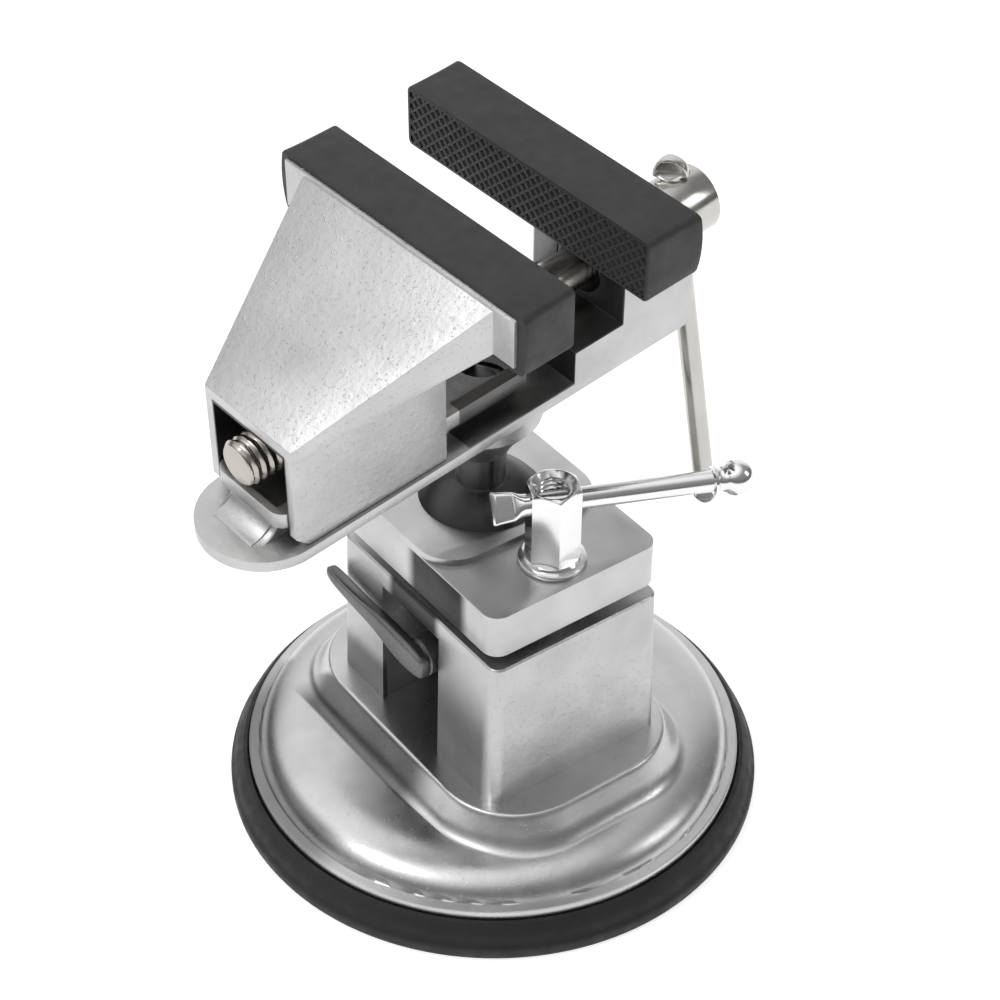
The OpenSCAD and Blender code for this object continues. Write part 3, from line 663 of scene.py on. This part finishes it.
def rod_rings(heights, degrees):
    """Round sections of a rod, whose points start where those of its squeezed ends do."""
    return [squeezed(ROD_R, ROD_R, z, degrees, power=2.0) for z in heights]


COIN_STEPS = 12
COIN_NECK_STEP = 0.35
COIN_GAP = 0.1
COIN_TIP = 0.05
COIN_LEAST = 0.05
COIN_RIM = 0.8


def coin(thin, disc_r, neck, end, degrees):
    """Sections of a coin-shaped end, from the rod at neck to the round edge at end."""
    up = 1 if end > neck else -1
    centre = end - up * disc_r
    rings = rod_rings([neck - up * COIN_NECK_STEP], degrees)
    for i in range(COIN_STEPS + 1):
        share = math.sin(math.pi / 2 * i / COIN_STEPS)
        first, last = neck + up * COIN_GAP, end - up * COIN_TIP
        z = first + (last - first) * share
        wide = math.sqrt(max(COIN_LEAST, disc_r ** 2 - (z - centre) ** 2))
        inside = 1 <= i and abs(end - z) > COIN_RIM
        rings.append(squeezed(thin, wide, z, degrees, SQUEEZE_SINK if inside else 0.0))
    return rings


HANDLE_FACE = 50
HANDLE_WIDE = 3.75
HANDLE_THIN = 1.25


def lock_handle():
    low, high = span("lock_handle", HANDLE)
    tail, face = low.z, HANDLE_FACE
    thin, wide = HANDLE_THIN, HANDLE_WIDE
    rings = [
        squeezed(thin - 0.45, wide - 0.3, tail, face),
        squeezed(thin, wide, tail + 0.4, face),
        squeezed(thin, wide, tail + 0.9, face),
        squeezed(thin, wide - 0.1, tail + 1.1, face, SQUEEZE_SINK),
        squeezed(thin + 0.1, wide - 0.5, tail + 4.6, face, SQUEEZE_SINK),
        squeezed(thin + 0.25, wide - 0.6, tail + 5.0, face),
        squeezed(ROD_R - 0.4, ROD_R + 0.15, tail + 6.2, face, power=2.3),
    ]
    rings += rod_rings([tail + 7.2, 0, 12, 24, high.z], face)
    ring_piece("handle_rod", rings, HANDLE, "handle", ("lock_handle",))


KNOB_NECK = 2.6
KNOB_STEPS = 16
KNOB_PIT_ANGLE = 0.12
KNOB_PIT_R = 0.3
KNOB_COUNT = 64


def knob():
    low, high = span("handle_knob", HANDLE)
    r = (high.x - low.x) / 2
    centre = high.z - r
    collar = [(-0.1, 0.2), (0.25, 0), (0.7, 0.2), (0.65, 0.9), (0.25, 1.2), (0.1, 1.7)]
    profile = [(KNOB_NECK + out, low.z + up) for out, up in collar]
    start = math.asin(min(1.0, (KNOB_NECK + 0.35) / r))
    for i in range(KNOB_STEPS + 1):
        angle = start + (math.pi - KNOB_PIT_ANGLE - start) * i / KNOB_STEPS
        profile.append((r * math.sin(angle), centre - r * math.cos(angle)))
    profile.append((KNOB_PIT_R, high.z - 0.02))
    ring_piece("ball_knob", lathe(profile, KNOB_COUNT), HANDLE, "handle", ("handle_knob",))


BAR_FACE = 33
BAR_THIN = 1.4
BAR_LOWER_R = 3.1
BAR_UPPER_R = 4.2
BAR_UPPER_NECK = 8.5


def tommy_bar():
    low, high = span("tommy_bar", BAR)
    lower_neck = low.z + 2 * BAR_LOWER_R - 0.5
    rings = coin(BAR_THIN, BAR_LOWER_R, lower_neck, low.z, BAR_FACE)[::-1]
    rings += rod_rings([-60, -40, -20, 0], BAR_FACE)
    rings += coin(BAR_THIN, BAR_UPPER_R, BAR_UPPER_NECK, high.z, BAR_FACE)
    ring_piece("cross_bar", rings, BAR, "bar", ("tommy_bar",), BAR_STEEL)


# Lead screw: a chamfered thread, then a plain journal into the head
SCREW_THREAD_END = 12.0
SCREW_THREAD_DEPTH = 0.6
SCREW_THREAD_PITCH = 2.0
SCREW_CHAMFER = 0.8
SCREW_JOURNAL_STEP = 0.65
SCREW_TAIL_L = 4
SCREW_TAIL_STEP = 1.4


def lead_screw():
    low, high = span("lead_screw", SCREW)
    r = (high.x - low.x) / 2
    journal = r - SCREW_JOURNAL_STEP
    tail = journal - SCREW_TAIL_STEP
    start = low.z + 0.04
    rings = lathe([(r - 0.95, low.z), (r - 0.85, low.z + 0.02)], SMALL_ROUND)
    rings += thread_rings(r, SCREW_THREAD_DEPTH, SCREW_THREAD_PITCH, start, SCREW_THREAD_END, SCREW_CHAMFER)
    rings += lathe([
        (journal, SCREW_THREAD_END + 0.2), (journal, high.z - SCREW_TAIL_L),
        (tail, high.z - SCREW_TAIL_L + 0.1), (tail, high.z)], SMALL_ROUND)
    ring_piece("threaded_screw", rings, SCREW, "screw", ("lead_screw",), SCREW_STEEL)


# Bed: the rounded lip that closes the rail's groove, and the ramp under it down to the tongue
RAIL_BARE = 10.5
RAIL_HALF = 11.0
RAIL_CORNER = 3.4
RAIL_TOP = 53.3
RAIL_FLOOR = 51.3
FLANGE_TOP = 44.7
LIP_HALF = 0.88
BEND_STEPS = 8


def rail_lip():
    end = span("bed", HEAD)[0].x + RAIL_BARE
    arc_r = RAIL_CORNER - LIP_HALF
    foot_z, skin_z = RAIL_FLOOR - 0.5, RAIL_TOP - 0.02
    rings = []
    for side, start in ((-1, 270), (1, 180)):
        centre = Vector((end + RAIL_CORNER + 0.02, side * (RAIL_HALF - RAIL_CORNER)))
        for k in range(BEND_STEPS + 1):
            angle = math.radians(start - 90 * k / BEND_STEPS)
            out = Vector((math.cos(angle), math.sin(angle)))
            point = centre + out * arc_r
            inner, outer = point - out * LIP_HALF, point + out * (LIP_HALF - 0.05)
            outline = [
                (outer, foot_z), (outer, RAIL_TOP - 0.7), (outer - out * 0.25, RAIL_TOP - 0.2),
                (outer - out * 0.6, skin_z), (inner + out * 0.5, skin_z),
                (inner + out * 0.1, RAIL_TOP - 0.3), (inner, RAIL_TOP - 0.9), (inner, foot_z)]
            rings.append([Vector((*place, z)) for place, z in outline])
    ring_piece("rail_lip", rings, HEAD, "head", material=BED_CAST, slot="cast")


RAMP_SHIFT = 2.6
RAMP_FRONT = 0.6
RAMP_SINK = 0.3
WEB_DROP = 2


def web_ramp():
    end = span("bed", HEAD)[0].x + RAIL_BARE
    back_x = end + RAMP_SHIFT
    foot_z = FLANGE_TOP - RAMP_SINK
    drop = RAIL_FLOOR - WEB_DROP - FLANGE_TOP
    rings = []
    for y, reach in ((-7.6, 4.6), (-7.2, 5.8), (-6.2, 6.4), (0.0, 6.4), (6.2, 6.4), (7.2, 5.8), (7.6, 4.6)):
        ring = [Vector((back_x, y, foot_z)), Vector((back_x, y, FLANGE_TOP + drop))]
        for k in range(BEND_STEPS + 1):
            angle = math.pi / 2 * k / BEND_STEPS
            x = back_x - RAMP_FRONT - reach * (1 - math.cos(angle))
            ring.append(Vector((x, y, FLANGE_TOP + drop * (1 - math.sin(angle)) - 0.05)))
        ring.append(Vector((back_x - RAMP_FRONT - reach, y, foot_z)))
        rings.append(ring)
    ring_piece("web_ramp", rings, HEAD, "head", material=BED_CAST, slot="cast")


# Soft jaw caps: a sleeve with a knurled gripping face
KNURL_PITCH = 2.0
KNURL_DEPTH = 0.45
KNURL_FOOT = 0.5
KNURL_CREST = 0.26
KNURL_CROSSING = 0.06
KNURL_SHORTEST = 0.6
CAP_SIDE = 1.8
CAP_LOW = 2.2
CAP_TOP = 1.1
CAP_FACE = 3.4
CAP_FIT = 0.05
CAP_BORDER = 0.9
CORNER_STEPS = 4
SIDE_STEPS = 10
END_STEPS = 6


def box_ring(x, half_y, low_z, high_z, radius):
    """A rounded rectangle across x."""
    ring = []
    middle, half_z = (low_z + high_z) / 2, (high_z - low_z) / 2
    for sy, sz, start in ((1, 1, 0), (-1, 1, 90), (-1, -1, 180), (1, -1, 270)):
        centre = Vector((sy * (half_y - radius), middle + sz * (half_z - radius)))
        for k in range(CORNER_STEPS + 1):
            angle = math.radians(start + 90 * k / CORNER_STEPS)
            ring.append((centre.x + radius * math.cos(angle), centre.y + radius * math.sin(angle)))
        if start in (0, 180):
            for k in range(1, SIDE_STEPS):
                ring.append((sy * (half_y - radius) * (1 - 2 * k / SIDE_STEPS), middle + sz * half_z))
        else:
            for k in range(1, END_STEPS):
                ring.append((sy * half_y, middle + sz * (half_z - radius) * (1 - 2 * k / END_STEPS)))
    return [Vector((x, y, z)) for y, z in ring]


def knurl(mesh, face_x, outward, half_y, low_z, high_z):
    """Two families of ribs at 45 degrees, clipped to the sunk field of the gripping face."""
    floor_x = face_x - outward * KNURL_DEPTH
    step = KNURL_PITCH * math.sqrt(2)
    tall = high_z - low_z
    for lean, sunk in ((1, 0.0), (-1, KNURL_CROSSING)):
        across = Vector((0, -lean, 1)).normalized()
        for i in range(1, int((2 * half_y + tall) / step) + 1):
            start = -half_y - (tall if lean > 0 else 0) + i * step
            ends = []
            for z in (low_z, high_z):
                y = start + lean * (z - low_z)
                inside = min(max(y, -half_y), half_y)
                ends.append((inside, z + lean * (inside - y)))
            first, last = ends[0][1], ends[1][1]
            if min(first, last) < low_z or max(first, last) > high_z or abs(last - first) < KNURL_SHORTEST:
                continue
            rows = []
            for y, z in ends:
                foot = Vector((floor_x, y, z))
                crest = Vector((face_x - outward * sunk, y, z))
                outline = [
                    foot - across * KNURL_FOOT, crest - across * KNURL_CREST, crest + across * KNURL_CREST,
                    foot + across * KNURL_FOOT]
                rows.append([mesh.verts.new(point) for point in outline])
            for k in range(3):
                mesh.faces.new((rows[0][k], rows[0][k + 1], rows[1][k + 1], rows[1][k]))


def jaw_cap(name, node, body, outward):
    """A cap whose gripping face looks along outward, 1 or -1, and whose open side flares a little."""
    low, high = span(node, HEAD)
    face, mouth = (high.x, low.x) if outward > 0 else (low.x, high.x)
    half_y = high.y
    field = (half_y - CAP_BORDER, low.z + CAP_BORDER, high.z - CAP_BORDER)
    pocket_low, pocket_high = low.z + CAP_LOW - CAP_FIT, high.z - CAP_TOP + CAP_FIT
    # Each ring: its share of the way from face to mouth, its inset, its corners' radius and its flare
    sleeve = [
        (0.0, 0.4, 1.1, 0.0), (0.01, 0.12, 1.2, 0.0), (0.03, 0.0, 1.3, 0.0), (0.35, 0.0, 1.3, 0.0),
        (0.6, 0.0, 1.3, 0.2), (0.8, 0.0, 1.3, 0.6), (0.96, 0.0, 1.2, 1.0), (0.99, 0.12, 1.1, 1.0),
        (1.0, 0.4, 1.0, 0.9)]
    rings = [box_ring(x, *field, 0.7) for x in (face - outward * KNURL_DEPTH, face)]
    for share, inset, radius, flare in sleeve:
        x = face + (mouth - face) * share
        ring = box_ring(x, half_y - inset, low.z + inset, high.z - inset, radius)
        for point in ring:
            if abs(point.y) > half_y - inset - 0.5:
                level = (point.z - low.z) / (high.z - low.z)
                point.y += math.copysign(flare * max(0.0, 1 - (2 * level - 1.1) ** 2), point.y)
        rings.append(ring)
    for x in (mouth, face - outward * CAP_FACE):
        rings.append(box_ring(x, half_y - CAP_SIDE - CAP_FIT, pocket_low, pocket_high, 0.3))
    mesh = bmesh.new()
    join_rings(mesh, rings)
    knurl(mesh, face, outward, *field)
    piece(name, mesh, HEAD, body, (node,))


REPLACED = {
    "suction_pad", "base_dome", "suction_lever", "lock_nut", "lock_handle", "handle_knob", "tommy_bar",
    "lead_screw", "fixed_jaw_cap", "moving_jaw_cap"}
for node in SLOT_OF:
    if node not in REPLACED:
        dress(node)
rubber_pad()
cast_base()
lever()
lock_nut()
lock_handle()
knob()
tommy_bar()
lead_screw()
rail_lip()
web_ramp()
jaw_cap("fixed_cap", "fixed_jaw_cap", "head", -1)
jaw_cap("moving_cap", "moving_jaw_cap", "jaw", 1)

# Camera: the photograph's viewpoint, found from the object's edges
LENS = 88.38
SENSOR = 36
CLIP_START = 0.01
ELEVATION = math.radians(39.12)
AZIMUTH = math.radians(-36.76)
ROLL = math.radians(0.68)
DISTANCE = 573.03
AIM_CENTRE = Vector((0, 0, 60))
AIM = Vector((1.19, 17.87))
back = Vector((
    math.sin(AZIMUTH) * math.cos(ELEVATION), -math.cos(AZIMUTH) * math.cos(ELEVATION), math.sin(ELEVATION)))
level = Vector((math.cos(AZIMUTH), math.sin(AZIMUTH), 0))
upright = back.cross(level)
cam_right = math.cos(ROLL) * level + math.sin(ROLL) * upright
cam_up = -math.sin(ROLL) * level + math.cos(ROLL) * upright
target = AIM_CENTRE + AIM.x * cam_right + AIM.y * cam_up
camera = bpy.data.objects.new("camera", bpy.data.cameras.new("camera"))
bpy.context.collection.objects.link(camera)
camera.data.lens = LENS
camera.data.sensor_width = SENSOR
camera.data.clip_start = CLIP_START
turned = Matrix((cam_right, cam_up, back)).transposed().to_4x4()
camera.matrix_world = Matrix.Translation((target + back * DISTANCE) * MM) @ turned
bpy.context.scene.camera = camera

# Floor: a wide pale plane that glows a little, so that it stays near white out of the lights' reach
FLOOR = 12
FLOOR_TONE = (0.5, 0.5, 0.5, 1)
FLOOR_ROUGHNESS = 0.9
FLOOR_GLOW = 0.75
WHITE = (1, 1, 1, 1)
bpy.context.scene.view_settings.view_transform = "Standard"
floor_mesh = bpy.data.meshes.new("floor")
corners = [(-FLOOR, -FLOOR, 0), (FLOOR, -FLOOR, 0), (FLOOR, FLOOR, 0), (-FLOOR, FLOOR, 0)]
floor_mesh.from_pydata(corners, [], [(0, 1, 2, 3)])
floor = bpy.data.objects.new("floor", floor_mesh)
bpy.context.collection.objects.link(floor)
floor_material = bpy.data.materials.new("floor")
tree, shader, coords = node_tree(floor_material)
shader.inputs["Roughness"].default_value = FLOOR_ROUGHNESS
shader.inputs["Base Color"].default_value = FLOOR_TONE
shader.inputs["Emission Color"].default_value = WHITE
shader.inputs["Emission Strength"].default_value = FLOOR_GLOW
floor_mesh.materials.append(floor_material)

# Sky: dim walls, a bright ceiling panel and a bright backdrop, which the metals reflect
world = bpy.data.worlds.new("studio")
bpy.context.scene.world = world
world.use_nodes = True
sky = world.node_tree
sky_coords = sky.nodes.new("ShaderNodeTexCoord").outputs["Generated"]


def lobe(direction, stops):
    """Light from around one direction: the stops go from the cosine of the angle to the brightness."""
    return ramp(sky, dot_product(sky, sky_coords, Vector(direction).normalized()), stops)


walls = lobe((0, 0, 1), [(0.0, 0.12), (0.5, 0.25), (1.0, 0.35)])
overhead = lobe((-0.32, 0.25, 0.91), [(0.55, 0.0), (0.74, 0.55), (0.88, 0.9)])
backdrop = lobe((0.66, 0.73, 0.14), [(0.68, 0.0), (0.93, 0.82)])
light_around = add_colours(sky, add_colours(sky, walls, overhead), backdrop)
sky.links.new(light_around, sky.nodes["Background"].inputs["Color"])
sky.nodes["Background"].inputs["Strength"].default_value = 1.0

# Lamps: two square soft boxes that look at the vise
LIT_POINT = Vector((0, 0, 0.08))


def softbox(name, place, size, power):
    light = bpy.data.lights.new(name, "AREA")
    light.shape = "RECTANGLE"
    light.size, light.size_y = size
    light.energy = power
    obj = bpy.data.objects.new(name, light)
    bpy.context.collection.objects.link(obj)
    obj.location = place
    obj.rotation_euler = (LIT_POINT - Vector(place)).to_track_quat("-Z", "Y").to_euler()


softbox("key", (-0.9, 0.1, 1.2), (0.5, 0.5), 3)
softbox("side", (1.0, -0.9, 0.9), (0.4, 0.6), 2)
